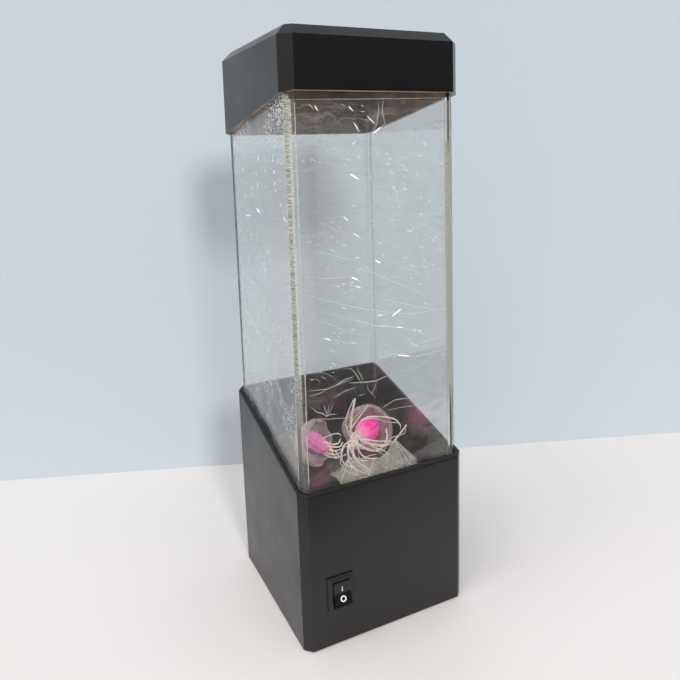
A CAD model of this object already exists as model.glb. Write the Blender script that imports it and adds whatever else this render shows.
"""The jellyfish lamp as it stands on a table: black moulded base and lid, clear tank in creased film,
two silicone jellyfish on the tank's floor. Lengths are in metres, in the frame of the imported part."""

import math
import random

import bpy
from mathutils import Matrix, Vector, noise


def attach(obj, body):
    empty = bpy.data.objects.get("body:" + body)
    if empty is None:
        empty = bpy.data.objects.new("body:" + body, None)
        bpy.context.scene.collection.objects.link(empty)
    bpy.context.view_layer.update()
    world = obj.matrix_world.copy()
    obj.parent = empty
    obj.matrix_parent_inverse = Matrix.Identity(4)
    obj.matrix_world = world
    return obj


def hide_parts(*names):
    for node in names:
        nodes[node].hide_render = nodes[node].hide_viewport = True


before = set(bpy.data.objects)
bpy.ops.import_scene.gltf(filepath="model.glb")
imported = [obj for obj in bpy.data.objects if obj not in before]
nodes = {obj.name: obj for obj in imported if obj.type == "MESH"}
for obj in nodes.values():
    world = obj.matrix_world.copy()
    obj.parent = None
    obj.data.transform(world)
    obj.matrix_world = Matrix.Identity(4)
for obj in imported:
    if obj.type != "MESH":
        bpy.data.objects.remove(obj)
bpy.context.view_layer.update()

# ---- The camera ----
# A phone held a little above the lid, to the left of the switch. Its place, turn and focal length
# are solved from the edges of the base, tank and lid.


def new_object(name, data):
    """An object with its data, put into the scene."""
    made = bpy.data.objects.new(name, data)
    bpy.context.scene.collection.objects.link(made)
    return made


camera = new_object("camera", bpy.data.cameras.new("camera"))
bpy.context.scene.camera = camera
camera.data.sensor_width = 36
camera.data.lens = 33.27
camera.data.clip_start = 0.01
camera_right = Vector((0.89703, -0.44091, -0.03057))
camera_up = Vector((0.15063, 0.23996, 0.95903))
camera_back = -Vector((0.41550, 0.86488, -0.28166))
camera_turn = Matrix((camera_right, camera_up, camera_back)).transposed()
camera.matrix_world = Matrix.Translation((-0.15022, -0.31048, 0.25746)) @ camera_turn.to_4x4()

# ---- Table and wall ----
# A matt table with a faint pink cast that ends just in front of the picture, and a painted wall close
# behind the lamp. The clear tank shows both through its walls. From behind, the wall is see-through.


def colour(hex_code):
    """A colour as paint is named on screen, turned into Blender's linear values."""
    parts = [int(hex_code[i:i + 2], 16) / 255 for i in (1, 3, 5)]
    return tuple(c / 12.92 if c <= 0.04045 else ((c + 0.055) / 1.055) ** 2.4 for c in parts) + (1.0,)


def set_socket(tree, socket, value):
    """Links an output to a socket, or sets the socket's value. Text stands for a colour."""
    if isinstance(value, bpy.types.NodeSocket):
        tree.links.new(value, socket)
    else:
        socket.default_value = colour(value) if isinstance(value, str) else value


def set_sockets(tree, node, **sockets):
    """Sets or links a node's inputs by name. base_color stands for Base Color."""
    for word, value in sockets.items():
        set_socket(tree, node.inputs[word.replace("_", " ").title().replace("Ior", "IOR")], value)


def finish_named(name, **sockets):
    """A material with one Principled shader, and the values that are the same all over its surface."""
    material = bpy.data.materials.new(name)
    material.use_nodes = True
    shader = material.node_tree.nodes["Principled BSDF"]
    set_sockets(material.node_tree, shader, **sockets)
    return material, material.node_tree, shader


def add_node(tree, kind, inputs=None, **settings):
    """One shader node, with its settings, and its inputs set to values or linked to outputs."""
    node = tree.nodes.new("ShaderNode" + kind)
    for key, value in settings.items():
        setattr(node, key, value)
    for key, value in (inputs or {}).items():
        set_socket(tree, node.inputs[key], value)
    return node


def two_tints(tree, share, first, second, **settings):
    """Two colours mixed by a share."""
    inputs = {0: share, 6: first, 7: second}
    return add_node(tree, "Mix", inputs, data_type="RGBA", **settings).outputs[2]


def stage_sheet(name, corners, material):
    """A flat sheet of the stage: the table or the wall."""
    mesh = bpy.data.meshes.new(name)
    mesh.from_pydata(corners, [], [(0, 1, 2, 3)])
    mesh.materials.append(material)
    sheet = new_object(name, mesh)


def mottled_paint(name, roughness, scale, detail, first, second):
    """A matt paint in two close tints, in soft patches."""
    paint, tree, shader = finish_named(name, roughness=roughness)
    mottle = add_node(tree, "TexNoise", {"Scale": scale, "Detail": detail})
    set_sockets(tree, shader, base_color=two_tints(tree, mottle.outputs["Fac"], first, second))
    return paint, tree, shader


table_paint, _, _ = mottled_paint("table_top", 0.5, scale=9.0, detail=3.0, first="#ece5e2", second="#f0eae8")
wall_along = Vector((0.935, -0.354, 0))
from_wall = Vector((0.354, 0.935, 0))
table_front, table_reach = -0.17, 3
stage_sheet("table", [
    from_wall * table_front - wall_along * table_reach, from_wall * table_front + wall_along * table_reach,
    from_wall * table_reach + wall_along * table_reach, from_wall * table_reach - wall_along * table_reach,
], table_paint)

wall_paint, wall_tree, wall_shader = mottled_paint("wall_paint", 0.8, scale=3.0, detail=2.0,
                                                   first="#c6d2d9", second="#cedae0")
wall_side = add_node(wall_tree, "NewGeometry")
wall_gone = add_node(wall_tree, "BsdfTransparent")
wall_mix = add_node(wall_tree, "MixShader", {
    0: wall_side.outputs["Backfacing"], 1: wall_shader.outputs[0], 2: wall_gone.outputs[0],
})
set_sockets(wall_tree, wall_tree.nodes["Material Output"], surface=wall_mix.outputs[0])
wall_foot = Vector((0.0577, 0.1524, -0.01))
wall_span, wall_up = wall_along * 3, Vector((0, 0, 3))
stage_sheet("wall", [
    wall_foot - wall_span, wall_foot + wall_span,
    wall_foot + wall_span + wall_up, wall_foot - wall_span + wall_up,
], wall_paint)

# ---- Light ----
# A room with a bright ceiling and a dim far side behind the camera. One lamp in front, about head
# high, throws the faint shadow on the wall behind the tank. No lamp mirrors in the tank.


def spread(tree, value, low, high, to_low=0.0, to_high=1.0, **settings):
    """A value stretched from one range to another."""
    return add_node(tree, "MapRange", {
        "Value": value, "From Min": low, "From Max": high, "To Min": to_low, "To Max": to_high,
    }, **settings).outputs[0]


def sum_of(tree, operation, first, second, **settings):
    """Two values put together by one operation."""
    return add_node(tree, "Math", {0: first, 1: second}, operation=operation, **settings).outputs[0]


room = bpy.data.worlds.new("room")
room.use_nodes = True
bpy.context.scene.world = room
room_tree = room.node_tree
room_way = add_node(room_tree, "TexCoord")
room_parts = add_node(room_tree, "SeparateXYZ", {0: room_way.outputs["Generated"]})
room_height = spread(room_tree, room_parts.outputs["Z"], 0.0, 0.65, 0.1, 0.76, interpolation_type="SMOOTHSTEP")
room_left = spread(room_tree, room_parts.outputs["X"], 0.2, -1.0, 0.0, 0.55)
room_sum = sum_of(room_tree, "ADD", room_height, room_left)
room_path = add_node(room_tree, "LightPath").outputs
room_seen = sum_of(room_tree, "MAXIMUM", room_path["Is Camera Ray"], room_path["Is Transmission Ray"])
room_light = add_node(room_tree, "Mix", {0: room_seen, 2: room_sum, 3: 0.72})
set_sockets(room_tree, room_tree.nodes["Background"], color="#f7f7f9", strength=room_light.outputs[0])


def room_lamp(name, place, aim, size, watts, tint):
    """A square area light of the room, which no surface mirrors."""
    light = bpy.data.lights.new(name, "AREA")
    light.shape = "RECTANGLE"
    light.size = light.size_y = size
    light.energy = watts
    light.color = tint
    lamp = new_object(name, light)
    lamp.location = place
    lamp.rotation_euler = (Vector(aim) - Vector(place)).to_track_quat("-Z", "Y").to_euler()
    lamp.visible_glossy = lamp.visible_transmission = False


room_lamp("lamp_in_front", place=(-0.2, -1.75, 1.05), aim=(0, 0, 0.15), size=0.28, watts=17,
          tint=(1.0, 0.985, 0.96))
room_lamp("ceiling_lamp", place=(-1.0, -0.3, 1.7), aim=(-0.2, 0, 0), size=1.0, watts=7.5,
          tint=(1.0, 0.99, 0.97))

bpy.context.scene.view_settings.view_transform = "Standard"
cycles = bpy.context.scene.cycles
cycles.max_bounces = 24
cycles.transmission_bounces = 20
cycles.glossy_bounces = 8
cycles.transparent_max_bounces = 40

# ---- Base housing ----
# The tall black shell of the foot, open at the bottom, whose rim slopes up to the back. Injection
# moulded ABS with a fine spark-eroded grain and softly worn edges. Everything else is fixed in it.


def new_group(name, inputs, outputs):
    """A node group with named sockets. Gives its tree, what it is given, and its output node."""
    tree = bpy.data.node_groups.new(name, "ShaderNodeTree")
    for word, value in inputs.items():
        kind = "NodeSocketColor" if isinstance(value, tuple) else "NodeSocketFloat"
        socket = tree.interface.new_socket(name=word, in_out="INPUT", socket_type=kind)
        socket.default_value = value
    for word in outputs:
        kind = "NodeSocketColor" if word == "Colour" else "NodeSocketFloat"
        tree.interface.new_socket(name=word, in_out="OUTPUT", socket_type=kind)
    return tree, tree.nodes.new("NodeGroupInput").outputs, tree.nodes.new("NodeGroupOutput")


def cloud(tree, place, scale, detail=2.0, roughness=0.5):
    """Soft noise over a place."""
    inputs = {"Vector": place, "Scale": scale, "Detail": detail, "Roughness": roughness}
    return add_node(tree, "TexNoise", inputs).outputs["Fac"]


def build_moulded_grain():
    """Grain, faint flow marks and dust of a moulded plastic face."""
    tree, given, out = new_group("moulded_grain", {
        "Colour": (0.02, 0.02, 0.02, 1), "Dust Colour": (0.3, 0.29, 0.28, 1), "Dust": 0.3,
        "Roughness": 0.45, "Grain Size": 1.0,
    }, ("Colour", "Roughness", "Height"))
    where = add_node(tree, "TexCoord").outputs["Object"]
    grain = cloud(tree, where, sum_of(tree, "DIVIDE", 2600.0, given["Grain Size"]), 2.0, 0.6)
    flow = cloud(tree, where, 38.0, 4.0, 0.55)
    specks = add_node(tree, "TexVoronoi", {"Vector": where, "Scale": 330.0})
    speck = spread(tree, specks.outputs["Distance"], 0.05, 0.11, 1.0, 0.0)
    few = sum_of(tree, "GREATER_THAN", specks.outputs["Color"], 0.9)
    dust = sum_of(tree, "MULTIPLY", sum_of(tree, "MULTIPLY", speck, few), given["Dust"])
    shade = spread(tree, flow, 0.3, 0.7, 0.88, 1.14)
    toned = two_tints(tree, 1.0, given["Colour"], shade, blend_type="MULTIPLY")
    rough = sum_of(tree, "ADD", given["Roughness"], spread(tree, flow, 0.3, 0.7, -0.04, 0.05))
    dusty = two_tints(tree, dust, toned, given["Dust Colour"])
    set_sockets(tree, out, colour=dusty, roughness=rough, height=grain)
    return tree


moulded_grain = build_moulded_grain()


def grouped(tree, group, **values):
    """A node group placed in a material with its own values. Gives its outputs."""
    node = add_node(tree, "Group", node_tree=group)
    set_sockets(tree, node, **values)
    return node.outputs


def bump(tree, height, strength, distance):
    """A height as a bump, for a shader's Normal."""
    return add_node(tree, "Bump", {"Strength": strength, "Distance": distance, "Height": height}).outputs[0]


def moulded_plastic(name, paint, roughness, grain=1.0, dust=0.3, depth=0.15, **sockets):
    """A plastic finish: the grain group drives colour, roughness and a fine bump."""
    material, tree, shader = finish_named(name, **sockets)
    made = grouped(tree, moulded_grain, colour=paint, roughness=roughness, grain_size=grain, dust=dust)
    set_sockets(tree, shader, base_color=made["Colour"], roughness=made["Roughness"],
                normal=bump(tree, made["Height"], depth, 0.0001))
    return material


def dress(material, *names):
    """Gives a finish to CAD nodes, in place of the plain one that they came with."""
    for name in names:
        for slot in nodes[name].material_slots:
            slot.material = material


def soften(radius, segments, *names):
    """Small rounds on the sharp edges of CAD nodes, as a mould or a press leaves them."""
    for name in names:
        bevel = nodes[name].modifiers.new("edge_round", "BEVEL")
        bevel.width = radius
        bevel.segments = segments
        bevel.limit_method = "ANGLE"
        bevel.angle_limit = math.radians(25)
        bevel.harden_normals = False


dress(moulded_plastic("base_black_abs", "#0f0e0e", 0.32, specular_ior_level=0.55), "base_housing")

# ---- Lid ----
# The black cap that drops over the tank, chamfered round the top, with its lower edge sloping down
# to the back. The same ABS as the base; four seats under its ceiling stand on the tank's edge.

lid_black = moulded_plastic("lid_black_abs", "#0d0c0c", 0.3, grain=1.1, dust=0.15)
dress(lid_black, "lid_shell")


def warm_inside(material, low, high, bright):
    """Tints the faces that look inwards, with soft blotches and streaks; the outer ones stay as they are."""
    tree = material.node_tree
    shader = tree.nodes["Principled BSDF"]
    outer = shader.inputs["Base Color"].links[0].from_socket
    facts = add_node(tree, "NewGeometry").outputs
    flat = add_node(tree, "VectorMath", {0: facts["Position"], 1: (1.0, 1.0, 0.0)}, operation="MULTIPLY")
    side = add_node(tree, "VectorMath", {0: facts["True Normal"], 1: flat.outputs[0]}, operation="DOT_PRODUCT")
    parts = add_node(tree, "SeparateXYZ", {0: facts["True Normal"]})
    down = sum_of(tree, "LESS_THAN", parts.outputs["Z"], -0.6)
    inward = sum_of(tree, "LESS_THAN", side.outputs["Value"], -0.01)
    blotch = spread(tree, cloud(tree, facts["Position"], 55.0, 3.0), 0.35, 0.65)
    drawn = add_node(tree, "Mapping", {"Vector": facts["Position"], "Scale": (150.0, 90.0, 7.0)})
    streak = spread(tree, cloud(tree, drawn.outputs[0], 1.0, 2.0), 0.56, 0.7)
    streaked = two_tints(tree, streak, two_tints(tree, blotch, low, high), bright)
    inside = sum_of(tree, "MAXIMUM", down, inward)
    set_sockets(tree, shader, base_color=two_tints(tree, inside, outer, streaked))


warm_inside(lid_black, "#5a4738", "#987c66", "#ab8654")

# ---- Rocker switch ----
# A standard panel switch that snaps into the front: nylon case with a bevelled bezel, and a rocker
# whose two faces meet in a shallow valley. Its I and O are printed in white.

switch_nylon = moulded_plastic("switch_black_nylon", "#141312", 0.33, grain=0.6, dust=0.25, depth=0.08)
rocker_nylon = moulded_plastic("rocker_black_nylon", "#0c0c0b", 0.3, grain=0.5, dust=0.2, depth=0.06)
mark_ink = moulded_plastic("mark_white_ink", "#e8e8e4", 0.5, grain=0.4, dust=0.0, depth=0.05)
dress(switch_nylon, "switch_case")
dress(rocker_nylon, "switch_rocker")
soften(0.00025, 2, "switch_case")
soften(0.0003, 3, "switch_rocker")

base_draft = math.radians(0.86)
switch_x, switch_z = -0.0302, 0.0328
base_half, feet_height = 0.0515, 0.0008
front_y = -(base_half + feet_height * math.tan(base_draft)) + switch_z * math.tan(base_draft)
rocker_swing = math.radians(22)
pivot_depth, face_depth = 0.003, 0.0057
ink_under, ink_over = -0.00005, 0.00004


def solid_from(name, points, faces, material, body, smooth=False):
    """A mesh piece in the part's frame that rides on a body."""
    mesh = bpy.data.meshes.new(name)
    mesh.from_pydata([tuple(p) for p in points], [], faces)
    mesh.validate()
    mesh.materials.append(material)
    if smooth:
        mesh.polygons.foreach_set("use_smooth", [True] * len(mesh.polygons))
    piece = new_object(name, mesh)
    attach(piece, body)
    return piece


def on_rocker_face(u, v, lift, lower):
    """A point on one of the rocker's two faces: u across, v from the pivot's height, lift off the face."""
    point = Vector((u, -face_depth - lift, v))
    if lower:
        point = Matrix.Rotation(-rocker_swing, 3, "X") @ point
    upright = Matrix.Rotation(-base_draft, 3, "X") @ (point + Vector((0, pivot_depth, 0)))
    return upright + Vector((switch_x, front_y, switch_z))


def printed_ring(name, outer, inner, lower):
    """A raised print, as a closed strip between an outer and an inner loop of points."""
    points = [on_rocker_face(u, v, lift, lower)
              for lift in (ink_under, ink_over) for loop in (outer, inner) for u, v in loop]
    n = len(outer)
    faces = []
    for i in range(n):
        k = (i + 1) % n
        faces += [(2 * n + i, 2 * n + k, 3 * n + k, 3 * n + i), (i, k, 2 * n + k, 2 * n + i),
                  (n + k, n + i, 3 * n + i, 3 * n + k), (k, i, n + i, n + k)]
    return solid_from(name, points, faces, mark_ink, "rocker")


def circle_loop(radius, middle, count=32):
    """A circle at a height on the rocker."""
    turns = [2 * math.pi * i / count for i in range(count)]
    return [(radius * math.cos(a), middle + radius * math.sin(a)) for a in turns]


def bar_loop(half_width, low, high):
    """A narrow upright bar with round ends."""
    turns = [math.pi * i / 8 for i in range(9)]
    top = [(half_width * math.cos(a), high + half_width * math.sin(a)) for a in turns]
    return top + [(-half_width * math.cos(a), low - half_width * math.sin(a)) for a in turns]


bar_low, bar_high, ring_middle = 0.0023, 0.0049, -0.0043
mark_on = printed_ring("mark_i", bar_loop(0.00024, bar_low, bar_high), bar_loop(0.00002, bar_low, bar_high),
                       False)
mark_off = printed_ring("mark_o", circle_loop(0.0017, ring_middle), circle_loop(0.0010, ring_middle), True)

# ---- Tank ----
# One clear acrylic tube, slightly wider at the foot, with flat chamfers down its corners, glued to
# a clear floor. It stands on a silicone gasket on the frame inside the base.


def clear_plastic(name, tint):
    """Clear plastic that lets lamplight and scattered light straight through to what is behind it."""
    material, tree, shader = finish_named(name, base_color=tint, roughness=0.0, ior=1.49,
                                          transmission_weight=1.0)
    path = add_node(tree, "LightPath").outputs
    either = sum_of(tree, "MAXIMUM", path["Is Shadow Ray"], path["Is Diffuse Ray"])
    through = add_node(tree, "BsdfTransparent", {"Color": tint})
    mix = add_node(tree, "MixShader", {0: either, 1: shader.outputs[0], 2: through.outputs[0]})
    set_sockets(tree, tree.nodes["Material Output"], surface=mix.outputs[0])
    return material


tank_clear = clear_plastic("tank_clear_acrylic", (0.945, 0.944, 0.941, 1))
dress(tank_clear, "tank_shell", "tank_floor")

# ---- Film wrap ----
# Thin clear protective film, drawn round the tank in the factory and never peeled off. It is crushed
# along the corners, crackled where the base and the lid grip it, and has loose folds on its faces.


def build_film_creases():
    """Crackle, fine ripples, crushed corners and haze of a thin clear film, as a mask for its white."""
    tree, given, out = new_group("film_creases", {
        "Crackle": 0.5, "Crackle Edge": 0.5, "Ripples": 0.5, "Crush": 0.0, "Haze": 0.04, "Gripped": 0.15,
        "Fine": 1.0, "Veil": 0.0,
    }, ("Mask", "Height"))
    place = add_node(tree, "TexCoord").outputs["Object"]
    height = add_node(tree, "SeparateXYZ", {0: place}).outputs
    warp = add_node(tree, "TexNoise", {"Vector": place, "Scale": 110.0, "Detail": 3.0}).outputs["Color"]

    def pushed(amount):
        """The place, pushed about by soft noise."""
        push = add_node(tree, "VectorMath", {0: warp, 1: amount}, operation="MULTIPLY")
        return add_node(tree, "VectorMath", {0: place, 1: push.outputs[0]}).outputs[0]

    def stretched(vector, scale):
        """A place scaled along its three axes."""
        return add_node(tree, "Mapping", {"Vector": vector, "Scale": scale}).outputs[0]

    def times(first, second):
        """One value multiplied by another."""
        return sum_of(tree, "MULTIPLY", first, second)

    bent = pushed((0.009, 0.009, 0.012))
    cells = add_node(tree, "TexVoronoi", {
        "Vector": stretched(pushed((0.0024, 0.0032, 0.0026)), (400.0, 250.0, 420.0)), "Scale": given["Fine"],
    }, feature="DISTANCE_TO_EDGE")
    cell_line = spread(tree, cells.outputs["Distance"], 0.02, 0.1, 1.0, 0.0)
    patchy = spread(tree, cloud(tree, place, 60.0, 3.0), 0.38, 0.58, 0.1, 1.0)
    low = spread(tree, height["Z"], 0.132, 0.168, 0.42, 0.0)
    foot = spread(tree, height["Z"], 0.112, 0.129, 0.05, 1.0)
    high = spread(tree, height["Z"], 0.262, 0.276)
    held = sum_of(tree, "MAXIMUM", times(low, foot), high)
    amount = sum_of(tree, "ADD", times(held, given["Crackle Edge"]), given["Crackle"])
    crackled = times(times(cell_line, patchy), amount)

    ridge = spread(tree, cloud(tree, stretched(bent, (28.0, 28.0, 420.0)), 1.0, 3.0, 0.6), 0.52, 0.72)
    looser = spread(tree, height["Z"], 0.16, 0.24, 0.25, 1.0)
    rippled = times(times(ridge, looser), given["Ripples"])

    crumbs = add_node(tree, "TexVoronoi", {
        "Vector": stretched(place, (450.0, 450.0, 2700.0)), "Scale": 1.0,
    }).outputs
    crumb = add_node(tree, "SeparateColor", {0: crumbs["Color"]})
    upper = spread(tree, height["Z"], 0.13, 0.24, 0.25, 1.0)
    crushed = times(crumb.outputs[0], times(upper, given["Crush"]))

    creased = sum_of(tree, "MAXIMUM", sum_of(tree, "MAXIMUM", crackled, rippled), crushed)
    veiled = spread(tree, cloud(tree, bent, 75.0), 0.42, 0.68, 0.0, given["Veil"])
    misty = sum_of(tree, "ADD", veiled, given["Haze"])
    hazy = sum_of(tree, "ADD", creased, misty, use_clamp=True)
    rim = add_node(tree, "Math", {0: height["Y"], 1: -0.28, 2: -0.104}, operation="MULTIPLY_ADD")
    over_rim = sum_of(tree, "ADD", height["Z"], rim.outputs[0])
    clear_below = spread(tree, over_rim, 0.0, 0.006, given["Gripped"], 1.0)
    set_sockets(tree, out, mask=times(hazy, clear_below), height=crumbs["Distance"])
    return tree


film_creases = build_film_creases()


def creased_film(name, tint="#f4f6f8", rough=0.25, **creases):
    """Clear film: see-through except where it is creased white."""
    material, tree, shader = finish_named(name, base_color=tint, roughness=rough, ior=1.45)
    made = grouped(tree, film_creases, **creases)
    set_sockets(tree, shader, alpha=made["Mask"], normal=bump(tree, made["Height"], 0.7, 0.0008))
    return material


def fade_film(material, foot, head):
    """Lets the film on a chamfer clear up towards its foot and under the lid.

    Each end is two heights, and the share of the film's white that shows at either.
    """
    tree = material.node_tree
    where = add_node(tree, "TexCoord")
    parts = add_node(tree, "SeparateXYZ", {0: where.outputs["Object"]})
    ends = [spread(tree, parts.outputs["Z"], *end) for end in (foot, head)]
    shader = tree.nodes["Principled BSDF"]
    mask = shader.inputs["Alpha"].links[0].from_socket
    set_sockets(tree, shader, alpha=sum_of(tree, "MULTIPLY", mask, sum_of(tree, "MULTIPLY", *ends)))


front_film = creased_film("film_on_front", tint="#efe8dc", crackle=0.0, crackle_edge=0.02, ripples=0.13,
                          haze=0.003, gripped=0.0, veil=0.025)
side_film = creased_film("film_on_side", tint="#ffffff", crackle=0.18, crackle_edge=1.1, ripples=0.1,
                         haze=0.012, fine=1.5)
corner_film = creased_film("film_on_corners", tint="#dcdcd4", rough=0.3, crackle=0.0, crackle_edge=0.1,
                           ripples=0.1, crush=0.1, haze=0.03)
near_film = creased_film("film_on_near_corner", tint="#e4e5dc", rough=0.35, crackle=0.1, crackle_edge=0.2,
                         ripples=0.1, crush=0.55, haze=0.18, gripped=1.0)
right_film = creased_film("film_on_right_corner", tint="#bdbdb5", rough=0.4, crackle=0.0, crackle_edge=0.0,
                          ripples=0.1, crush=0.12, haze=0.86, gripped=0.9)
fade_film(right_film, (0.122, 0.14, 0.12, 1.0), (0.256, 0.264, 1.0, 0.3))
fade_film(near_film, (0.1, 0.15, 0.25, 1.0), (0.27, 0.28, 1.0, 0.9))

tank_foot_half, tank_foot_z, tank_draft_slope = 0.04807, 0.065, math.tan(math.radians(1.1))
chamfer_leg = 0.0037


def tank_half(z):
    """Half the tank's width at a height."""
    return tank_foot_half - (z - tank_foot_z) * tank_draft_slope


film_gap, base_grip_top, lid_grip_foot = 0.00006, 0.122, 0.268
wave_held, wave_loose, crush_held, crush_loose = 0.00004, 0.00022, 0.00004, 0.00012


def film_lift(point, corner):
    """How far the film stands off the tank: close where it is gripped, looser in between."""
    low, high = (point.z - base_grip_top) / 0.03, (lid_grip_foot - point.z) / 0.02
    loose = min(1.0, max(0.0, low), max(0.0, high))
    wave = noise.noise(Vector((point.x * 45, point.y * 45, point.z * 70))) * 0.5 + 0.5
    crush = noise.noise(point * 420) * 0.5 + 0.5
    return (film_gap + (wave_held + wave_loose * loose) * wave
            + (crush_held + crush_loose * loose) * crush * corner)


def wrap_ring(z, across, in_chamfer):
    """Points round the tank at one height, from the front-left chamfer on, each with its corner weight."""
    half = tank_half(z)
    flat = half - chamfer_leg
    ring = []
    for quarter in range(4):
        turn = Matrix.Rotation(quarter * math.pi / 2, 3, "Z")
        ring += [(turn @ Vector((-flat + 2 * flat * i / across, -half, z)), 0.0) for i in range(across)]
        for i in range(in_chamfer):
            along = chamfer_leg * i / in_chamfer
            ring.append((turn @ Vector((flat + along, -half + along, z)), 1.0))
    return ring


def quads(rows, sides):
    """Faces between closed rings of points that follow each other."""
    faces = []
    for i in range(rows):
        for k in range(sides):
            m = (k + 1) % sides
            faces.append((i * sides + k, i * sides + m, (i + 1) * sides + m, (i + 1) * sides + k))
    return faces


film_foot, film_top, film_top_front, first_height = 0.082, 0.2885, 0.2815, 0.2
film_across, film_in_chamfer, film_rows = 26, 6, 96


def film_points():
    """The film's points, ring by ring. It ends lower on the front, where the lid's edge is higher."""
    points = []
    for row in range(film_rows + 1):
        first_z = film_foot + first_height * row / film_rows
        for point, corner in wrap_ring(first_z, film_across, film_in_chamfer):
            high = film_top_front if point.y < 0 and abs(point.x) < -point.y else film_top
            z = film_foot + (high - film_foot) * row / film_rows
            at = Vector((point.x, point.y, 0)) * (tank_half(z) / tank_half(point.z)) + Vector((0, 0, z))
            if corner:
                out = Vector((math.copysign(1, at.x), math.copysign(1, at.y), 0)).normalized()
            elif abs(at.x) > abs(at.y):
                out = Vector((math.copysign(1, at.x), 0, 0))
            else:
                out = Vector((0, math.copysign(1, at.y), 0))
            points.append(at + out * film_lift(at, corner))
    return points


def film_looks():
    """Which of the film's finishes each face of one ring has, from the front-left chamfer on."""
    front, side, corner, near, right = range(5)
    chamfers = [[right] * 6, [corner] * 6, [corner] * 6, [near, near, near, near, corner, corner]]
    looks = []
    for quarter, chamfer in enumerate(chamfers):
        looks += [side if quarter == 3 else front] * film_across + chamfer
    looks[film_across - 1] = right
    return looks


film_faces = quads(film_rows, 4 * (film_across + film_in_chamfer))
film = solid_from("film_sheet", film_points(), film_faces, front_film, "base", smooth=True)
for film_finish in (side_film, corner_film, near_film, right_film):
    film.data.materials.append(film_finish)
film.data.polygons.foreach_set("material_index", film_looks() * film_rows)
film_body = film.modifiers.new("film_thickness", "SOLIDIFY")
film_body.thickness = 0.00003
film_body.offset = 0
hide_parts("film_wrap")


def strip_faces(count):
    """Faces of a thin bar with four points to a section, closed at both ends."""
    last = 4 * count - 4
    return quads(count - 1, 4) + [(3, 2, 1, 0), (last, last + 1, last + 2, last + 3)]


fold_step, fold_off, fold_under, fold_highest = 0.0015, 0.00022, 0.00020, 0.00033


def crease_strip(route, width, on_left):
    """A pinched fold of the film: a thin ridge on a panel that tapers to nothing at both ends."""
    line = [Vector((u / 1000, z / 1000)) for u, z in route]
    steps = []
    for a, b in zip(line, line[1:]):
        parts = max(1, int((b - a).length / fold_step))
        steps += [a.lerp(b, i / parts) for i in range(parts)]
    steps.append(line[-1])
    points = []
    for i, here in enumerate(steps):
        ahead = (steps[min(i + 1, len(steps) - 1)] - steps[max(i - 1, 0)]).normalized()
        side = Vector((-ahead.y, ahead.x))
        t = i / (len(steps) - 1)
        wide = width / 1000 * (0.25 + 0.75 * math.sin(math.pi * t) ** 0.6)
        wobble = 0.00025 * noise.noise(Vector((here.x * 300, here.y * 300, width)))
        for across, lift in ((-1, fold_off), (0, fold_off + wide * 0.5), (1, fold_off), (0, fold_under)):
            at = here + side * (wobble + across * wide / 2)
            away = tank_half(at.y) + min(lift, fold_highest)
            points.append(Vector((-away, at.x, at.y)) if on_left else Vector((at.x, -away, at.y)))
    return points, strip_faces(len(steps))


def drawn(*rows):
    """Folds from rows of numbers in millimetres: the width, then across and height of each point."""
    return [(list(zip(row[1::2], row[2::2])), row[0]) for row in rows]


long_folds = drawn(
    (0.5, -40.4, 148.4, -31.3, 147.6, -24.7, 149, -16.8, 150.6),
    (0.6, -26.9, 148.4, -23.9, 149.9, -20.7, 151, -16.4, 151.4),
    (0.7, -19.7, 148.8, -14.1, 147.7, -9, 147.1, -3.8, 146.7, 0.8, 147.9, 5.1, 148.8),
    (0.4, -40.5, 145.8, -35.7, 145.9, -31.3, 147.6), (0.4, -28.3, 142.3, -22.7, 144.4, -15.9, 145.7),
    (0.5, -21.7, 156.4, -17.4, 155.6, -15.7, 153.1, -14, 150.1, -12.4, 147.5),
    (0.35, -13.8, 156.8, -13.9, 153.9, -12.3, 150.7, -11, 147.7),
    (0.3, -9, 146, -8.5, 142.8, -5.9, 139.9, -4.2, 137.2),
    (0.35, -3.8, 146.1, -4.7, 143.5, -6, 141, -7.5, 139.4), (0.4, -13.9, 140.7, -10.7, 141),
    (0.25, -38.4, 156.4, -35.2, 156.8, -31.7, 156, -28, 153.3, -26.3, 151.1),
    (0.25, -40.1, 153.4, -37.4, 154, -34.9, 152.2, -36, 150.9),
    (0.5, -1.2, 131.4, 7.2, 134.1, 14.6, 133.7, 19.5, 132.1), (0.3, 2.3, 129.5, 12.1, 129.1, 20.8, 128.5),
    (0.4, -38.5, 133.9, -32.1, 132, -23.3, 130.6, -16.5, 130.2),
    (0.6, -40.3, 139.8, -37.3, 136.8, -34.3, 135.3, -32.3, 133.4, -30.1, 134.1, -26.5, 133.4),
    (0.45, -33.5, 140, -32.7, 136.4, -32, 133.3), (0.35, -30.3, 140.1, -31.3, 137.3, -32, 133.9),
    (0.35, -28.1, 139.4, -29.9, 136.8, -31.7, 134), (0.22, 5.1, 148.8, 19.7, 149.4, 38.7, 156.7),
    (0.35, -41, 281.1, -23.3, 281.3, -3.2, 281.6, 18.1, 281.9, 37.9, 282.3),
)
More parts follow.
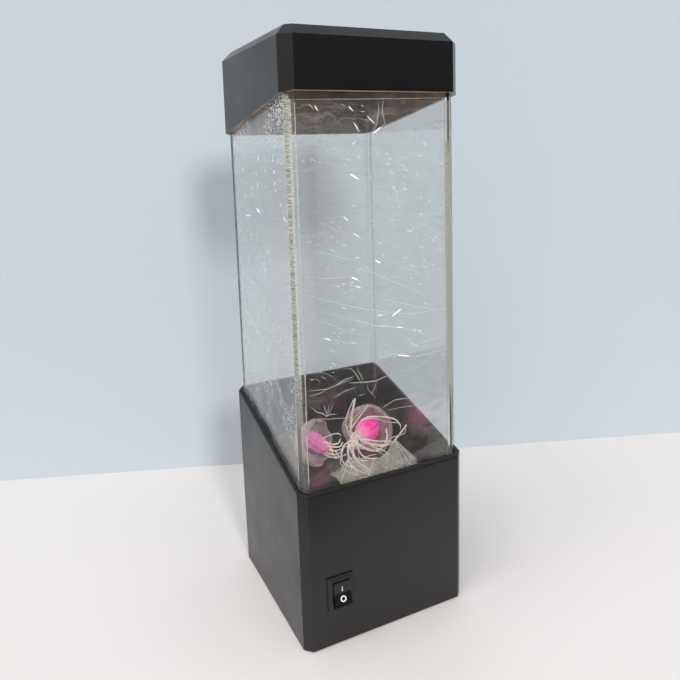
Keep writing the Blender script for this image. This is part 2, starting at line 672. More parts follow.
loose_folds = drawn(
    (0.4, -41.6, 196.4, -30.2, 192.1, -18, 187.6, -5.2, 183.9, 6.2, 181, 20, 178.4, 38.5, 179.8),
    (0.35, -18.1, 207.5, -4.7, 202.4, 8.4, 196, 22.1, 189.8, 31.2, 183.4),
    (0.4, -30.5, 186, -14.6, 180.1, -3.6, 175.8, 11.9, 172.5, 28.1, 166),
    (0.35, -36.3, 174.2, -27.6, 172.4, -18.7, 168.9, -11.4, 167.4),
    (0.4, -4, 158.7, 7.7, 159.4, 19.8, 155.6, 38.7, 157.1), (0.3, -30.1, 227.9, -23.5, 224.4, -15.8, 221),
    (0.35, 40.7, 170.5, 33.3, 163.4, 19.8, 162.8), (0.4, 5.8, 254.7, 7.5, 247, 10.6, 236, 12.7, 228),
    (0.3, 20.3, 217.7, 24.2, 207.4, 28.1, 196.8, 30.6, 189.6),
    (0.3, -37.6, 183.4, -29, 180.5, -18.5, 174.3, -7.5, 171.5),
    (0.35, -3.2, 190.3, 12.1, 185, 28.1, 180.3, 38.6, 172.6),
    (0.3, -39.8, 204.3, -29.7, 202.2, -19.2, 202, -8.5, 199.2),
    (0.3, -38.2, 216.4, -27.4, 213.9, -17.1, 209.8, -9.9, 209.9),
    (0.3, 1.1, 209.6, 8.6, 205.6, 20.1, 200.2, 30.2, 196.6),
    (0.45, -1.1, 263.8, -2.8, 266.8, 0, 271.1, 1, 276.9, 0.7, 280.5),
    (0.45, 3.8, 282.6, 2.8, 276.9, 4.4, 271.1, -1, 266.7),
)
left_folds = drawn(
    (0.4, 37.4, 195, 22.2, 194.5, 6, 189.7, -9, 185.4),
    (0.4, 37.7, 176.3, 14.7, 169.4, -0.7, 161.7, -20.2, 156), (0.4, 27, 201.2, 8, 212.7, -1.9, 225.6),
    (0.35, 1.9, 251.8, 0.6, 243.6, -4.9, 229.1), (0.35, 30, 160, 12, 150, -6, 146, -24, 141),
    (0.35, 34, 222, 20, 214, 4, 205),
)
front_flecks = drawn(
    (0.56, -14.7, 249.1, -10.1, 246.7), (0.5, -10.7, 257.2, -9.7, 256.7), (0.56, -13.1, 262.3, -11.6, 263.1),
    (0.43, -14.2, 235.2, -12.6, 234.6), (0.31, -19, 230.4, -16.5, 228), (0.31, -25.8, 228.4, -24.3, 227.8),
    (0.31, -30.4, 228.1, -28.9, 227.5), (0.31, -21.8, 225.8, -20.3, 225), (0.31, -14.1, 222.2, -11, 220.1),
    (0.37, -26.4, 215.8, -23.9, 214.2), (0.5, -13, 210.8, -11.4, 210.2), (0.56, -2.7, 208.4, 0.1, 206.6),
    (0.37, 1.3, 210.6, 2.4, 209.8), (0.37, 13.2, 207.3, 14.9, 208.1), (0.31, -8.2, 206, -6.1, 204.3),
    (0.5, -16, 201.5, -12.3, 199.6), (0.3, 6.1, 199.3, 7.8, 198.4), (0.3, -28.9, 207.2, -27.4, 206.5),
    (0.3, 23.4, 237.2, 24.5, 236.2), (0.3, 28, 234.1, 29.8, 234.9), (0.31, 21.8, 256.1, 24, 256),
    (0.3, 21.7, 248.6, 22, 246.8), (0.3, 10.5, 219.8, 11.6, 219.2), (0.37, -33.5, 279.3, -31.7, 277.3),
    (0.37, -31.1, 278.9, -29.3, 276.4), (0.31, -18, 279.4, -16, 278.5), (0.43, -14.5, 278.6, -12.1, 276.4),
    (0.37, -7.9, 279, -6.9, 278.2), (0.31, -8, 276, -6, 276.4), (0.31, -5, 274.3, -0.9, 270.8),
    (0.3, -12.3, 271.8, -10.3, 269.2, -9.3, 267.4), (0.37, -2.1, 266.9, 2.2, 269.5),
    (0.31, -1, 266.9, 1.1, 269.1), (0.3, -14, 196.9, -10.8, 195.5), (0.5, 6.3, 179.2, 11.6, 182.1),
    (0.31, -2.3, 180.9, 1.1, 180.5), (0.43, 8.5, 173.2, 12.7, 172.3), (0.5, 9.5, 158.2, 16.1, 156.6),
    (0.31, -23.6, 174.9, -21.9, 174.7), (0.37, -17, 175.2, -14.8, 175.6), (0.43, -17.2, 169.4, -14.5, 168.4),
    (0.3, -31.6, 173.7, -28, 171.6), (0.3, 4.1, 185.7, 5.3, 184.5), (0.31, 1.4, 190.6, 2.5, 190),
)
left_flecks = drawn(
    (0.62, -24.6, 256.8, -25.2, 255.5), (0.62, -25.4, 251.9, -25.8, 250.1),
    (0.68, -26.1, 246.5, -26.4, 244.7), (0.5, -27, 243.4, -27.1, 242), (0.37, 0.5, 250.8, -0.7, 248.9),
    (0.43, -1.8, 245.5, -2.2, 243.1), (0.74, 1.7, 233, -2.6, 230.8), (0.31, 18.8, 228.4, 13.7, 228.2),
    (0.56, -32.1, 236.8, -33.3, 235.5), (0.5, -36, 231.1, -38.3, 229), (0.5, -12.2, 213.7, -12.7, 211.8),
    (0.5, -5.3, 206.3, -5.7, 204.3), (0.43, -6.4, 203.4, -6.9, 201.4),
)


def joined(parts):
    """Several meshes as one: all their points, and their faces numbered on."""
    points, faces = [], []
    for new_points, new_faces in parts:
        faces += [tuple(i + len(points) for i in face) for face in new_faces]
        points += new_points
    return points, faces


def fold_piece(name, material, on_front, on_left=()):
    """Several folds of the film on the front and the left panel, as one piece."""
    strips = [crease_strip(route, width, False) for route, width in on_front]
    strips += [crease_strip(route, width, True) for route, width in on_left]
    piece = solid_from(name, *joined(strips), material, "base")
    return piece


def corner_pinches():
    """The film stands pinched along both edges of each chamfer, from the base to the lid."""
    strips, steps, pinch_foot, pinch_height = [], 70, 0.1, 0.18
    for quarter, sides in enumerate(((0, 1), (0,), (1,), (0, 1))):
        turn = Matrix.Rotation(quarter * math.pi / 2, 3, "Z")
        for side in sides:
            points = []
            for i in range(steps + 1):
                z = pinch_foot + pinch_height * i / steps
                half = tank_half(z)
                wide = 0.00016 * (1 + 0.5 * noise.noise(Vector((z * 160, quarter, side))))
                flat = half - chamfer_leg
                at = Vector((flat, -half, z)) if side == 0 else Vector((half, -flat, z))
                out = Vector((0.38, -0.92, 0)) if side == 0 else Vector((0.92, -0.38, 0))
                along = Vector((-out.y, out.x, 0))
                for a, b in ((-1, 0.16), (0, 0.3), (1, 0.16), (0, 0.1)):
                    points.append(turn @ (at + along * (a * wide) + out * (b / 1000)))
            strips.append((points, strip_faces(steps + 1)))
    return joined(strips)


pinch_film = creased_film("film_pinched", tint="#e4e3d8", rough=0.3, crackle=0.3, crackle_edge=0.0, ripples=0.3,
                          crush=0.2, haze=0.5, gripped=0.7)
pinches = solid_from("film_corner_pinches", *corner_pinches(), pinch_film, "base")


def stray_flecks(count, low, high, left, right, slope):
    """Small glints of crushed film, in loose groups that run down to the right like the folds."""
    chance = random.Random(41)
    flecks = []
    while len(flecks) < count:
        u, z = chance.uniform(left, right), chance.uniform(low, high)
        if noise.noise(Vector((u * 0.07, z * 0.07 + u * 0.03, 4.2))) < 0.02:
            continue
        length = chance.uniform(0.4, 1.9)
        lean = slope + chance.uniform(-0.35, 0.35)
        flecks.append(([(u, z), (u + length, z + lean * length)], chance.uniform(0.25, 0.45)))
    return flecks


crease_white, _, _ = finish_named("film_crease", base_color="#f4f5f6", roughness=0.3, alpha=0.9,
                                  emission_color="#f4f7fa", emission_strength=0.8)
crease_faint, _, _ = finish_named("film_crease_faint", base_color="#e4e2de", roughness=0.3, alpha=0.3)
crease_thin, _, _ = finish_named("film_crease_thin", base_color="#eceff2", roughness=0.3, alpha=0.22,
                                 emission_color="#e8eef2", emission_strength=0.08)
fold_piece("film_long_folds", crease_faint, long_folds)
fold_piece("film_loose_folds", crease_thin, loose_folds, left_folds)
fold_piece("film_flecks", crease_white,
           front_flecks + stray_flecks(130, low=150, high=262, left=-40, right=38, slope=-0.5),
           left_flecks + stray_flecks(34, low=160, high=276, left=-38, right=40, slope=-1.2))

# ---- False floor ----
# A glossy smoked plate over the pump wheel, with an intake grille in the middle and outlet slots
# front and back. The jellyfish lie on it while the tank is empty.

floor_acrylic = moulded_plastic("floor_smoked_acrylic", "#2c2522", 0.1, grain=3.0, dust=0.25, depth=0.03,
                                coat_weight=0.5, coat_roughness=0.04)
dress(floor_acrylic, "flow_plate")

# ---- Right jellyfish ----
# Cast in soft silicone: a clear bell with a thick rolled rim, a ribbed pink core glued in it, and a
# bunch of pale strands. It is loose in the tank and lies on its side with its mouth to the camera.


def build_silicone_skin():
    """Cloudy patches, tiny bubbles and lint on cast silicone."""
    tree, given, out = new_group("silicone_skin", {
        "Colour": (0.8, 0.8, 0.8, 1), "Deep Colour": (0.6, 0.6, 0.6, 1), "Cloud Size": 1.0,
    }, ("Colour", "Fac", "Height"))
    where = add_node(tree, "TexCoord").outputs["Object"]
    clouds = cloud(tree, where, sum_of(tree, "DIVIDE", 260.0, given["Cloud Size"]), 4.0, 0.6)
    cloudy = spread(tree, clouds, 0.35, 0.65)
    bubbles = add_node(tree, "TexVoronoi", {"Vector": where, "Scale": 900.0})
    set_sockets(tree, out, colour=two_tints(tree, cloudy, given["Deep Colour"], given["Colour"]), fac=cloudy,
                height=spread(tree, bubbles.outputs["Distance"], 0.0, 0.35, 1.0, 0.0))
    return tree


silicone_skin = build_silicone_skin()


def silicone(name, light, deep, facing, grazing, clouds=1.0, **sockets):
    """Cast silicone. It is clearest where it is seen straight on, and milky towards its outline."""
    material, tree, shader = finish_named(name, ior=1.41, **sockets)
    skin = grouped(tree, silicone_skin, colour=light, deep_colour=deep, cloud_size=clouds)
    outline = add_node(tree, "LayerWeight", {"Blend": 0.45})
    milky = spread(tree, outline.outputs["Facing"], 0.0, 1.0, facing, grazing)
    patchy = spread(tree, skin["Fac"], 0.0, 1.0, 0.85, 1.15)
    set_sockets(tree, shader, base_color=skin["Colour"], emission_color=skin["Colour"],
                alpha=sum_of(tree, "MULTIPLY", milky, patchy, use_clamp=True),
                normal=bump(tree, skin["Height"], 0.25, 0.0002))
    return material


jelly_clear = silicone("jelly_clear_silicone", "#e6dad9", "#c2adb0", facing=0.2, grazing=0.86, clouds=1.6,
                       roughness=0.22, emission_strength=0.04)
jelly_pink = silicone("jelly_pink_silicone", "#ff58b4", "#f8409f", facing=0.98, grazing=1.0,
                      roughness=0.32, emission_strength=0.22)
jelly_strand = silicone("jelly_strand_silicone", "#f8ede8", "#e2d2ca", facing=0.6, grazing=0.92, clouds=0.8,
                        roughness=0.3, emission_strength=0.17)

pink_tree = jelly_pink.node_tree
pink_shader = pink_tree.nodes["Principled BSDF"]
pink_mouth = add_node(pink_tree, "Attribute", attribute_name="mouth")
pink_deep = pink_shader.inputs["Base Color"].links[0].from_socket
pink_paled = two_tints(pink_tree, pink_mouth.outputs["Fac"], pink_deep, "#f3b4cd")
set_sockets(pink_tree, pink_shader, base_color=pink_paled, emission_color=pink_paled)


def frame_along(axis):
    """Three directions at right angles: two across, and the axis."""
    ahead = Vector(axis).normalized()
    across = ahead.cross(Vector((0, 0, 1))).normalized()
    return across, across.cross(ahead), ahead


tank_floor_top = 0.07565
floor_bulge = 0.002


def on_floor(point):
    """Keeps a soft piece above the plate, and lets it bulge a little where it rests."""
    sunk = tank_floor_top + floor_bulge - point.z
    if sunk > 0:
        point.z = tank_floor_top + floor_bulge * math.exp(-sunk / floor_bulge)
    return point


def jelly_bell(name, rim_centre, axis, radius, phase, body):
    """A bell that opens along its axis, with a wall that thickens to a rolled, faintly lobed rim."""
    across, upward, ahead = frame_along(axis)
    rings, sides, depth, lobes = 22, 72, 0.0125, 7
    thin, rim_adds, lobe_rise, rim_tuck = 0.0007, 0.0011, 0.0007, 0.012
    points = []
    for inner in (0, 1):
        for i in range(rings + 1):
            t = i / rings
            wall = thin + rim_adds * t ** 6
            for k in range(sides):
                a = 2 * math.pi * k / sides
                lobe = t ** 3 * math.cos(lobes * a + phase)
                ripple = noise.noise(Vector((math.cos(a) * 1.7, math.sin(a) * 1.7, t * 2 + phase)))
                r = radius * math.sin(math.pi / 2 * min(1.0, t * 1.04)) ** 0.85
                r *= 1 + 0.03 * lobe + 0.05 * ripple * t
                back = depth * math.cos(math.pi / 2 * t) ** 1.1 if t < 1 else 0.0
                if inner:
                    r = max(0.0, r - wall)
                    back = max(0.0, back - wall * (1 - t) + 0.0003 * t)
                r -= rim_tuck * max(0.0, t - 0.9) * (0.4 if inner else 1.0)
                out = across * (r * math.cos(a)) + upward * (r * math.sin(a))
                points.append(on_floor(Vector(rim_centre) + out - ahead * (back - lobe_rise * lobe)))
    inside, rim = (rings + 1) * sides, rings * sides
    faces = []
    for a, b, c, d in quads(rings, sides):
        faces += [(a, d, c, b), (a + inside, b + inside, c + inside, d + inside)]
    for k in range(sides):
        a, b = rim + k, rim + (k + 1) % sides
        faces.append((a, a + inside, b + inside, b))
    bell = solid_from(name, points, faces, jelly_clear, body, smooth=True)
    return bell


def jelly_core(name, centre, axis, radius, length, phase, body):
    """A squat ribbed dome: ribs run out from its mouth, and rings cross them towards its back."""
    across, upward, ahead = frame_along(axis)
    rings, sides, ribs = 40, 96, 9
    points = []
    for i in range(rings + 1):
        t = i / rings
        swell = math.sin(math.pi * t)
        for k in range(sides):
            a = 2 * math.pi * k / sides
            groove = (1 - abs(math.sin(ribs * a / 2 + phase))) ** 3 * swell
            step = (1 - abs(math.sin(math.pi * 4.5 * t))) ** 3 * max(0.0, swell) * (0.5 + t)
            r = radius * swell ** 0.8 * (1 - 0.16 * groove - 0.09 * step)
            along = length * (0.5 * math.cos(math.pi * t) + 0.04 * math.sin(2 * a))
            ring_point = Vector(centre) + across * (r * math.cos(a)) + upward * (r * math.sin(a))
            points.append(ring_point + ahead * along)
    core = solid_from(name, points, quads(rings, sides), jelly_pink, body, smooth=True)
    paler = core.data.attributes.new("mouth", "FLOAT", "POINT")
    shares = [max(0.0, 1 - i / rings / 0.3) for i in range(rings + 1) for k in range(sides)]
    paler.data.foreach_set("value", shares)
    return core


def smooth_line(route, step=0.0011):
    """Points in metres on a smooth line through hand-set points in millimetres."""
    marks = [Vector(p) / 1000 for p in route]
    marks = [marks[0] * 2 - marks[1]] + marks + [marks[-1] * 2 - marks[-2]]
    line = []
    for p0, p1, p2, p3 in zip(marks, marks[1:], marks[2:], marks[3:]):
        parts = max(3, int((p2 - p1).length / step))
        for t in (j / parts for j in range(parts)):
            line.append(0.5 * ((2 * p1) + (p2 - p0) * t + (2 * p0 - 5 * p1 + 4 * p2 - p3) * t * t
                               + (3 * p1 - p0 - 3 * p2 + p3) * t ** 3))
    return line + [marks[-2]]


def strand_through(route, root, tip, sides=10):
    """A round tube along a smooth line, with blunt ends. Root and tip are its thickness in millimetres."""
    line = smooth_line(route)
    n = len(line)
    points = []
    side = (line[1] - line[0]).orthogonal().normalized()
    for i, here in enumerate(line):
        ahead = (line[min(i + 1, n - 1)] - line[max(i - 1, 0)]).normalized()
        side = (side - ahead * side.dot(ahead)).normalized()
        other = ahead.cross(side)
        r = (root + (tip - root) * i / (n - 1)) / 2000 * (1 + 0.06 * math.sin(i * 1.3))
        for a in (2 * math.pi * k / sides for k in range(sides)):
            points.append(here + side * (r * math.cos(a)) + other * (r * math.sin(a)))
    points.append(line[0] - (line[1] - line[0]).normalized() * root / 2400)
    points.append(line[-1] + (line[-1] - line[-2]).normalized() * tip / 2400)
    faces = quads(n - 1, sides)
    for k in range(sides):
        m = (k + 1) % sides
        faces += [(n * sides, m, k), (n * sides + 1, (n - 1) * sides + k, (n - 1) * sides + m)]
    return points, faces


def drift(at):
    """A small push in a direction that changes smoothly from place to place."""
    return Vector([noise.noise(at + Vector(push)) for push in ((0, 0, 0), (31.7, 0, 0), (0, 57.1, 0))])


wall_reach, strand_lowest, twin_wander, strand_share = 39.6, 76.5, 6.0, 0.86


def beside(route, turn):
    """A route that starts with another one and wanders off from it, above the plate, clear of the wall."""
    twin = []
    for i, mark in enumerate(route):
        away = drift(Vector(mark) * 0.09 + Vector((turn, 0, 0))) * twin_wander * min(1.0, 0.3 + i * 0.35)
        at = Vector(mark) + away
        twin.append((min(at.x, wall_reach), at.y, max(at.z, strand_lowest)))
    return twin


def jelly_strands(name, routes, body, twins):
    """All strands of one jellyfish, as one piece. Some have thinner ones that run beside them."""
    drawn_ones = list(routes)
    for number in range(twins):
        drawn_ones += [(beside(route, 3.7 * (number + 1)), root * 0.5, tip * 0.45)
                       for route, root, tip in routes if (number + len(route)) % 2 == 0]
    tubes = [strand_through(route, root * strand_share, tip * strand_share) for route, root, tip in drawn_ones]
    strands = solid_from(name, *joined(tubes), jelly_strand, body, smooth=True)
    return strands


right_bell = jelly_bell("right_bell_cast", rim_centre=(0.0238, 0.0172, 0.0885), axis=(-0.55, -0.78, 0.3),
                        radius=0.0163, phase=0.4, body="right_jelly")
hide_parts("right_bell")
right_core = jelly_core("right_core_cast", centre=(0.0262, 0.0212, 0.0868), axis=(-0.85, -0.42, -0.12),
                        radius=0.0077, length=0.0164, phase=0.3, body="right_jelly")
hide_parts("right_core")
# Each strand: its points in millimetres, then its thickness at the root and at the tip.
right_strands = jelly_strands("right_strands_cast", [
    ([(19, 17.5, 87), (13.8, 12, 89.5), (8.2, 8, 89.7), (6.7, 6, 98.2), (7.1, 5, 106.4),
      (9, 4, 117.4)], 1.7, 1.4),
    ([(19, 17.5, 87), (13.8, 12, 90.2), (7.6, 7, 93.7), (6.9, 5, 98.6), (12.8, 4, 106.2),
      (17.2, 3, 111.6)], 1.2, 0.8),
    ([(19, 18, 88), (14.5, 12, 92.1), (13, 6, 99.5), (16.2, 4, 103.5), (23.1, 4, 102.7), (31, 4, 100.5),
      (36.9, 3.5, 97.8), (39.7, 2.2, 93.7)], 1.2, 1.1),
    ([(19, 17, 86.5), (13.7, 12, 87.5), (17.9, 4, 85.7), (25.5, 1.5, 83.4), (31.4, 0.5, 84), (34.4, -0.7, 87),
      (37.9, -2, 91.8), (40.1, -3.7, 96.2)], 1.2, 1.2),
    ([(19, 17.5, 86.5), (13.7, 12, 87.5), (17.6, 6, 87.6), (25, 4.5, 85.5), (31, 4, 84.3),
      (34, 3.5, 83.3)], 1.3, 1),
    ([(19, 17, 86), (12.9, 12, 85.6), (14.7, 6, 83.6), (19.2, 4, 80.6), (24.9, 4, 79.9), (29.9, 5, 82.4),
      (32, 6, 87.7), (31.9, 7, 91.5)], 1.3, 0.9),
    ([(18, 16.5, 86), (13, 12, 86.9), (8.2, 7, 84), (8.5, 3.6, 77.2), (9.2, -6, 76.6),
      (9.6, -15, 76.6)], 1.4, 1),
    ([(18, 16.5, 86), (12.3, 12, 87.1), (6, 8, 84.8), (3.5, 3.6, 77.8), (3, -4, 76.7),
      (0.6, -14, 76.6)], 1.4, 1),
    ([(18, 16.5, 86), (12.3, 12, 87.1), (11.7, 7, 83.2), (13.3, 4.4, 78.6), (17.5, 1.5, 76.7),
      (22, 0.5, 76.6)], 1.3, 0.9),
    ([(18, 16.5, 86), (13, 12, 86.9), (4.7, 8, 87.8), (0.6, 7, 84.5), (0, 4.6, 77.4), (3.4, -6, 76.6),
      (7.4, -17, 76.6)], 1.3, 0.9),
    ([(18, 16.5, 86.5), (13.7, 12, 87.5), (7.4, 8, 86.5), (7.6, 6, 80.5), (10.5, 3, 76.8),
      (14.5, 0.6, 76.6)], 1.2, 0.8),
    ([(19, 17, 87), (13.7, 12, 88.1), (16.7, 7, 86.1), (21.2, 5, 82.4), (26.5, 3.6, 79.5),
      (30.2, 2.6, 77.2)], 1.2, 0.9),
    ([(19, 17.8, 89), (14, 13, 91.5), (9.5, 9, 91), (5.5, 7.5, 88), (4.6, 6.5, 82.5),
      (4.2, 5, 77.3)], 1.3, 0.9),
], "right_jelly", twins=2)
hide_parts("right_tentacles")

# ---- Left jellyfish ----
# The same casting, a little smaller, pushed against the tank's left wall with its mouth to the right,
# so that its strands tangle with those of the other one. The film and its skirt veil its core.

jelly_veiled = silicone("jelly_veiled_pink_silicone", "#f08cc6", "#e676b4", facing=0.8, grazing=0.97,
                        roughness=0.34, emission_strength=0.12)
left_bell = jelly_bell("left_bell_cast", rim_centre=(-0.0098, 0.0156, 0.0878), axis=(0.62, -0.76, 0.2),
                       radius=0.0158, phase=1.9, body="left_jelly")
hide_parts("left_bell")
left_core = jelly_core("left_core_cast", centre=(-0.0112, 0.0183, 0.087), axis=(0.66, -0.34, -0.6),
                       radius=0.0057, length=0.0172, phase=1.2, body="left_jelly")
left_core.data.materials[0] = jelly_veiled
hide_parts("left_core")
left_strands = jelly_strands("left_strands_cast", [
    ([(-8.9, 16, 87.2), (-5.8, 13.6, 86), (-1.6, 12.5, 84.5), (2, 12, 84.4), (3.6, 12, 86.8)], 1.4, 1.1),
    ([(-9, 16, 85.2), (-5.9, 13.6, 83.3), (-1, 12.6, 81.8), (2.4, 12, 82.4)], 1.4, 1.1),
    ([(-9.8, 16, 82.7), (-6.7, 13.6, 81.4), (-2.4, 12.6, 79.5), (1.2, 12.2, 79.9), (4, 12.2, 81.4)], 1.3, 1),
    ([(-10.2, 16, 82.9), (-6.1, 13.6, 79), (-1.8, 12.2, 77.5), (1.9, 12, 77.2), (6, 12.6, 77.5)], 1.3, 0.9),
    ([(-8.8, 16, 89.2), (-6.4, 13.6, 88.2), (-2.9, 12.6, 86.6), (0.8, 12.2, 86.6), (2.4, 12.4, 89)], 1.3, 1),
    ([(-8.8, 16, 89.9), (-7.1, 14, 91.9), (-2.8, 12.6, 93.3), (0.8, 11.8, 93.4), (2.6, 11.8, 91.6)], 0.9, 0.7),
    ([(-8.9, 16, 87.9), (-4.5, 13.4, 84.4), (-0.6, 12.6, 80.6), (1.4, 12.4, 76.8)], 1.1, 0.8),
], "left_jelly", twins=1)
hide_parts("left_tentacles")

# ---- Packing sleeve ----
# The clear bag that the jellyfish came in: thin stiff film with sharp creases, crumpled in the front
# of the tank. It is pulled out before the tank is filled.

sleeve_film = creased_film("sleeve_crumpled_film", tint="#e6e1cf", rough=0.2, crackle=0.1, crackle_edge=0.0,
                           ripples=0.05, crush=0.12, haze=0.26, gripped=1.0)
sleeve_crease, _, _ = finish_named("sleeve_crease", base_color="#f0ece0", roughness=0.3, alpha=0.62,
                                   emission_color="#e6e0d0", emission_strength=0.05)
sleeve_columns = [-14.2, -8, -1, 7.4, 13.5, 19.2, 25.5, 30.7, 34.5, 39.6]
sleeve_rows = [
    (-5.4, [77.2, 79.5, 84.6, 82, 80.4, 78.8, 81.5, 89.2, 84.4, 77]),
    (-10, [79, 81.2, 80.5, 79.5, 81.8, 77.5, 79.4, 83.5, 80.3, 79]),
    (-15.5, [80.2, 78.5, 77.8, 76.7, 78.3, 76.3, 76.4, 77, 76.4, 77]),
    (-21, [78.7, 76.5, 79.2, 77.4, 76.3, 79.6, 77, 80.2, 78, 76.4]),
    (-27, [76.3, 78.4, 76.4, 79.5, 77, 76.5, 80.4, 76.8, 79.4, 77.5]),
    (-33.6, [76.2, 76.2, 77.6, 76.3, 78.6, 76.2, 77.2, 76.2, 77.8, 76.2]),
]
sleeve_lowest, sleeve_hindmost = 75.95, -4.4
inner_drift, edge_drift = 0.55, 0.22


def crumpled_sheet(split=4):
    """Big flat facets between hand-set folds, each broken into smaller ones."""
    across, along = len(sleeve_columns) - 1, len(sleeve_rows) - 1
    points, faces = [], []
    for j in range(along * split + 1):
        row = min(j // split, along - 1)
        v = j / split - row
        (y_behind, behind), (y_before, before) = sleeve_rows[row:row + 2]
        for i in range(across * split + 1):
            column = min(i // split, across - 1)
            u = i / split - column
            x = sleeve_columns[column] * (1 - u) + sleeve_columns[column + 1] * u
            y = y_behind * (1 - v) + y_before * v
            (a, b), (c, d) = behind[column:column + 2], before[column:column + 2]
            z = a + (b - a) * u + (c - a) * v if u + v <= 1 else d + (c - d) * (1 - u) + (b - d) * (1 - v)
            inner = 0 < i < across * split and 0 < j < along * split
            push = drift(Vector((x * 0.35, y * 0.35, z * 0.35)))
            at = Vector((x, y, z)) + push * (inner_drift if inner else edge_drift)
            at.z, at.y = max(at.z, sleeve_lowest), min(at.y, sleeve_hindmost)
            points.append(at / 1000)
    wide = across * split + 1
    for j in range(along * split):
        for i in range(across * split):
            a, b, c, d = j * wide + i, j * wide + i + 1, (j + 1) * wide + i + 1, (j + 1) * wide + i
            faces += [(a, b, c), (a, c, d)] if (i + j) % 2 else [(a, b, d), (b, c, d)]
    return points, faces


rolled_edges = [
    [(31.2, -6.2, 88.8), (35, -10.4, 83.6), (39.8, -15.6, 78.2)],
    [(33.4, -8.2, 84.4), (36.6, -12.8, 80), (38.6, -16.8, 77)],
]
sleeve_parts = [crumpled_sheet()] + [strand_through(rolled, 1.5, 1.0) for rolled in rolled_edges]
sleeve = solid_from("crumpled_sleeve", *joined(sleeve_parts), sleeve_film, "sleeve")
sleeve_body = sleeve.modifiers.new("film_thickness", "SOLIDIFY")
sleeve_body.thickness = 0.00005
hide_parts("packing_sleeve")


def sleeve_mark(column, row):
    """A corner of the sleeve's facets, raised to the middle of a crease."""
    return Vector((sleeve_columns[column], sleeve_rows[row][0], sleeve_rows[row][1][column] + 0.35))


# Each crease: column and row of its two ends, and its thickness in millimetres.
crease_tubes = []
for column, row, to_column, to_row, thick in (
    (7, 0, 8, 2, 0.55), (7, 0, 6, 0, 0.5), (7, 0, 7, 2, 0.4), (6, 0, 5, 0, 0.4), (6, 0, 7, 2, 0.35),
    (5, 0, 4, 1, 0.5), (4, 1, 5, 2, 0.4), (4, 0, 4, 1, 0.4), (4, 0, 3, 0, 0.35), (3, 0, 2, 0, 0.5),
    (2, 0, 0, 3, 0.6), (2, 0, 3, 2, 0.4), (3, 0, 3, 2, 0.35), (1, 1, 2, 2, 0.4), (3, 2, 4, 1, 0.4),
    (2, 0, 1, 1, 0.35), (6, 0, 5, 2, 0.4), (8, 0, 9, 1, 0.4), (5, 3, 6, 4, 0.4), (3, 4, 4, 5, 0.4),
    (7, 3, 8, 4, 0.4), (2, 3, 3, 4, 0.4), (6, 4, 8, 4, 0.4), (1, 4, 2, 3, 0.4),
):
    first, last = sleeve_mark(column, row), sleeve_mark(to_column, to_row)
    middle = first.lerp(last, 0.5) + drift(first * 0.7) * 0.5
    middle.z = max(middle.z, 76.3)
    crease_tubes.append(strand_through([first, middle, last], thick, thick * 0.7, sides=6))
sleeve_edges = solid_from("sleeve_creases", *joined(crease_tubes), sleeve_crease, "sleeve")

# ---- Gasket and tank frame ----
# A white silicone gasket lies on a four-legged nylon frame that is screwed up into the housing and
# carries the tank, the motor and the light board.

dress(moulded_plastic("gasket_silicone", "#c9c9c4", 0.6, grain=1.4, dust=0.1), "tank_gasket")
dress(moulded_plastic("frame_grey_nylon", "#7d7f80", 0.5, grain=1.2, dust=0.1), "tank_carrier")
soften(0.0004, 2, "tank_carrier")

# ---- Pump wheel ----
# White nylon wheel with curved blades, free on a steel pin in the tank's floor. Two nickel-plated
# magnets in its underside follow those of the drive disc through the floor.

dress(moulded_plastic("wheel_white_nylon", "#e6e6e2", 0.4, grain=0.8, dust=0.0), "pump_wheel", "drive_disc")
soften(0.00025, 2, "pump_wheel", "drive_disc")


def build_metal_marks():
    """Fine turning lines, stains and edge wear on small metal parts."""
    tree, given, out = new_group("metal_marks", {
        "Colour": (0.6, 0.6, 0.6, 1), "Stain Colour": (0.3, 0.28, 0.26, 1), "Roughness": 0.3, "Line Size": 1.0,
    }, ("Colour", "Roughness", "Height"))
    where = add_node(tree, "TexCoord").outputs["Object"]
    lines_long = add_node(tree, "Mapping", {"Vector": where, "Scale": (200.0, 200.0, 6000.0)})
    sized = add_node(tree, "VectorMath", {
        0: lines_long.outputs[0], "Scale": sum_of(tree, "DIVIDE", 1.0, given["Line Size"]),
    }, operation="SCALE")
    lines = cloud(tree, sized.outputs[0], 1.0)
    stained = spread(tree, cloud(tree, where, 320.0, 5.0, 0.65), 0.55, 0.75, 0.0, 0.5)
    rough = sum_of(tree, "ADD", given["Roughness"], spread(tree, lines, 0.3, 0.7, -0.06, 0.08))
    set_sockets(tree, out, colour=two_tints(tree, stained, given["Colour"], given["Stain Colour"]),
                roughness=rough, height=lines)
    return tree


metal_marks = build_metal_marks()


def metal(name, paint, stain, roughness, lines=1.0):
    """A metal finish: the marks group drives colour, roughness and a fine bump."""
    material, tree, shader = finish_named(name, metallic=1.0)
    made = grouped(tree, metal_marks, colour=paint, stain_colour=stain, roughness=roughness,
                   line_size=lines)
    set_sockets(tree, shader, base_color=made["Colour"], roughness=made["Roughness"],
                normal=bump(tree, made["Height"], 0.15, 0.0001))
    return material


dress(metal("pin_ground_steel", "#b9bcc0", "#8c8a86", 0.18), "wheel_pin", "motor_shaft")
dress(metal("magnet_nickel_plate", "#c3c1ba", "#8f8a80", 0.22, lines=2.0), "wheel_magnets", "drive_magnets")
soften(0.00015, 2, "wheel_magnets", "drive_magnets")

# ---- Motor ----
# A small brushed motor hung under the frame by two screws. Drawn steel can, nylon end cap with two
# brass tags; inside are two ferrite arcs and the wound armature.

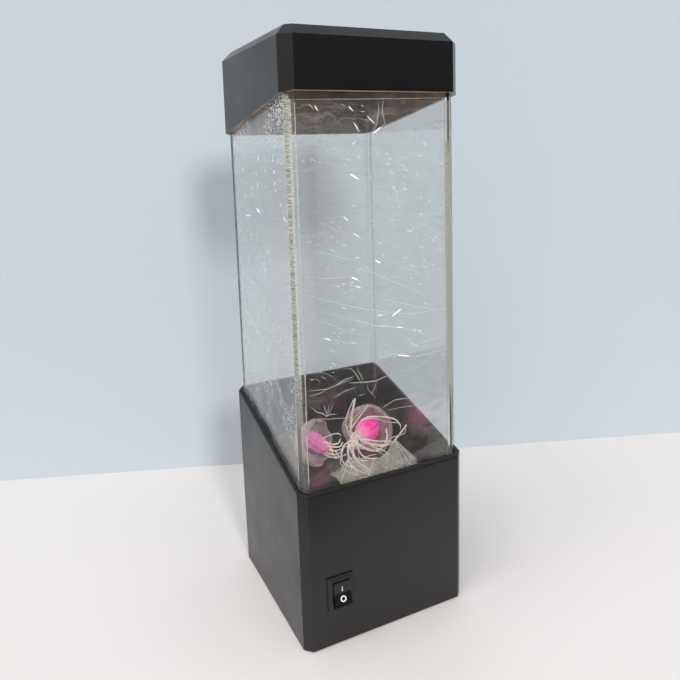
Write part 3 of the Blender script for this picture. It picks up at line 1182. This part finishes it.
dress(metal("can_zinc_steel", "#a9abac", "#77756f", 0.34, lines=3.0), "motor_can")
soften(0.0006, 3, "motor_can")
ferrite = moulded_plastic("field_ferrite", "#37373a", 0.7, grain=0.9, dust=0.3)
dress(ferrite, "field_magnets")
dress(moulded_plastic("end_cap_nylon", "#dedcd2", 0.45, grain=0.9, dust=0.1), "motor_end_cap")

winding, winding_tree, winding_shader = finish_named("winding_enamelled_copper", metallic=0.8, roughness=0.32)
winding_turns = add_node(winding_tree, "TexWave", {
    "Vector": add_node(winding_tree, "TexCoord").outputs["Object"],
    "Scale": 900.0, "Distortion": 1.2, "Detail": 1.0,
}, bands_direction="DIAGONAL").outputs["Fac"]
set_sockets(winding_tree, winding_shader,
            base_color=two_tints(winding_tree, winding_turns, "#7a3d20", "#d08350"),
            normal=bump(winding_tree, winding_turns, 0.6, 0.0002))
dress(winding, "motor_armature")

dress(metal("contact_brass", "#c59d4c", "#8a6a34", 0.28, lines=1.5),
      "motor_terminals", "switch_plunger", "switch_terminals", "jack_contacts")
dress(metal("contact_copper", "#b8784a", "#7c4a2c", 0.3, lines=1.5), "switch_contact")

# ---- Screws ----
# Zinc-plated self-tapping screws with pan heads and cross slots. The inlet's nut has the same plating.

dress(metal("screw_zinc_steel", "#b4b7ba", "#84827c", 0.27),
      "plate_screws", "carrier_screws", "led_screws", "board_screws", "motor_screws", "jack_nut")

# ---- Boards ----
# The light board and the control board: glass-fibre laminate under green lacquer, with the copper
# tracks showing through it, ivory nylon headers, one driver chip and one capacitor.

board, board_tree, board_shader = finish_named("board_green_lacquer", roughness=0.3, coat_weight=0.4)
board_place = add_node(board_tree, "TexCoord").outputs["Object"]
board_tracks = add_node(board_tree, "TexBrick", {
    "Vector": board_place, "Color1": "#1f5f3d", "Color2": "#256b45",
    "Mortar": "#3d8a56", "Scale": 150.0, "Mortar Size": 0.03, "Bias": 0.2,
})
board_weave = cloud(board_tree, board_place, 1200.0)
set_sockets(board_tree, board_shader, base_color=board_tracks.outputs["Color"],
            normal=bump(board_tree, board_weave, 0.2, 0.0001))
dress(board, "led_board", "control_board")

dress(moulded_plastic("led_white_package", "#e9e6c8", 0.35, grain=0.5, dust=0.0), "leds")
dress(moulded_plastic("chip_black_epoxy", "#1c1c1e", 0.55, grain=0.7, dust=0.2), "control_chip")
dress(moulded_plastic("capacitor_blue_sleeve", "#26386b", 0.3, grain=0.8, dust=0.1), "capacitor")
dress(moulded_plastic("header_ivory_nylon", "#e6e2d2", 0.42, grain=0.7, dust=0.05), "board_headers")

# ---- Power inlet ----
# A barrel socket in the lower back, clamped by a nut behind the wall. Its cord is not part of this
# model.

dress(moulded_plastic("jack_black_nylon", "#1a1a1b", 0.35, grain=0.7, dust=0.2), "dc_jack")
soften(0.0003, 2, "dc_jack")

# ---- Leads ----
# Pairs of thin stranded wires from the board's headers to the inlet, the switch, the motor and the
# lights. Soft vinyl, one colour for each pair.

for lead_name, lead_hue in (
    ("power_lead", "#a42a26"), ("switch_lead", "#d2d2cc"), ("motor_lead", "#c4ab3c"), ("light_lead", "#2f5fa8"),
):
    dress(moulded_plastic(lead_name + "_vinyl", lead_hue, 0.38, grain=0.8, dust=0.15), lead_name)

# ---- Bottom plate and feet ----
# The plate closes the base from below, with a field of slots under the motor. Four self-adhesive
# rubber feet are stuck in its corners.

dress(moulded_plastic("plate_black_abs", "#222120", 0.5, grain=1.3, dust=0.3), "base_plate")
dress(moulded_plastic("foot_black_rubber", "#1d1d1d", 0.75, grain=1.8, dust=0.6, depth=0.3), "rubber_feet")
soften(0.0003, 3, "rubber_feet")
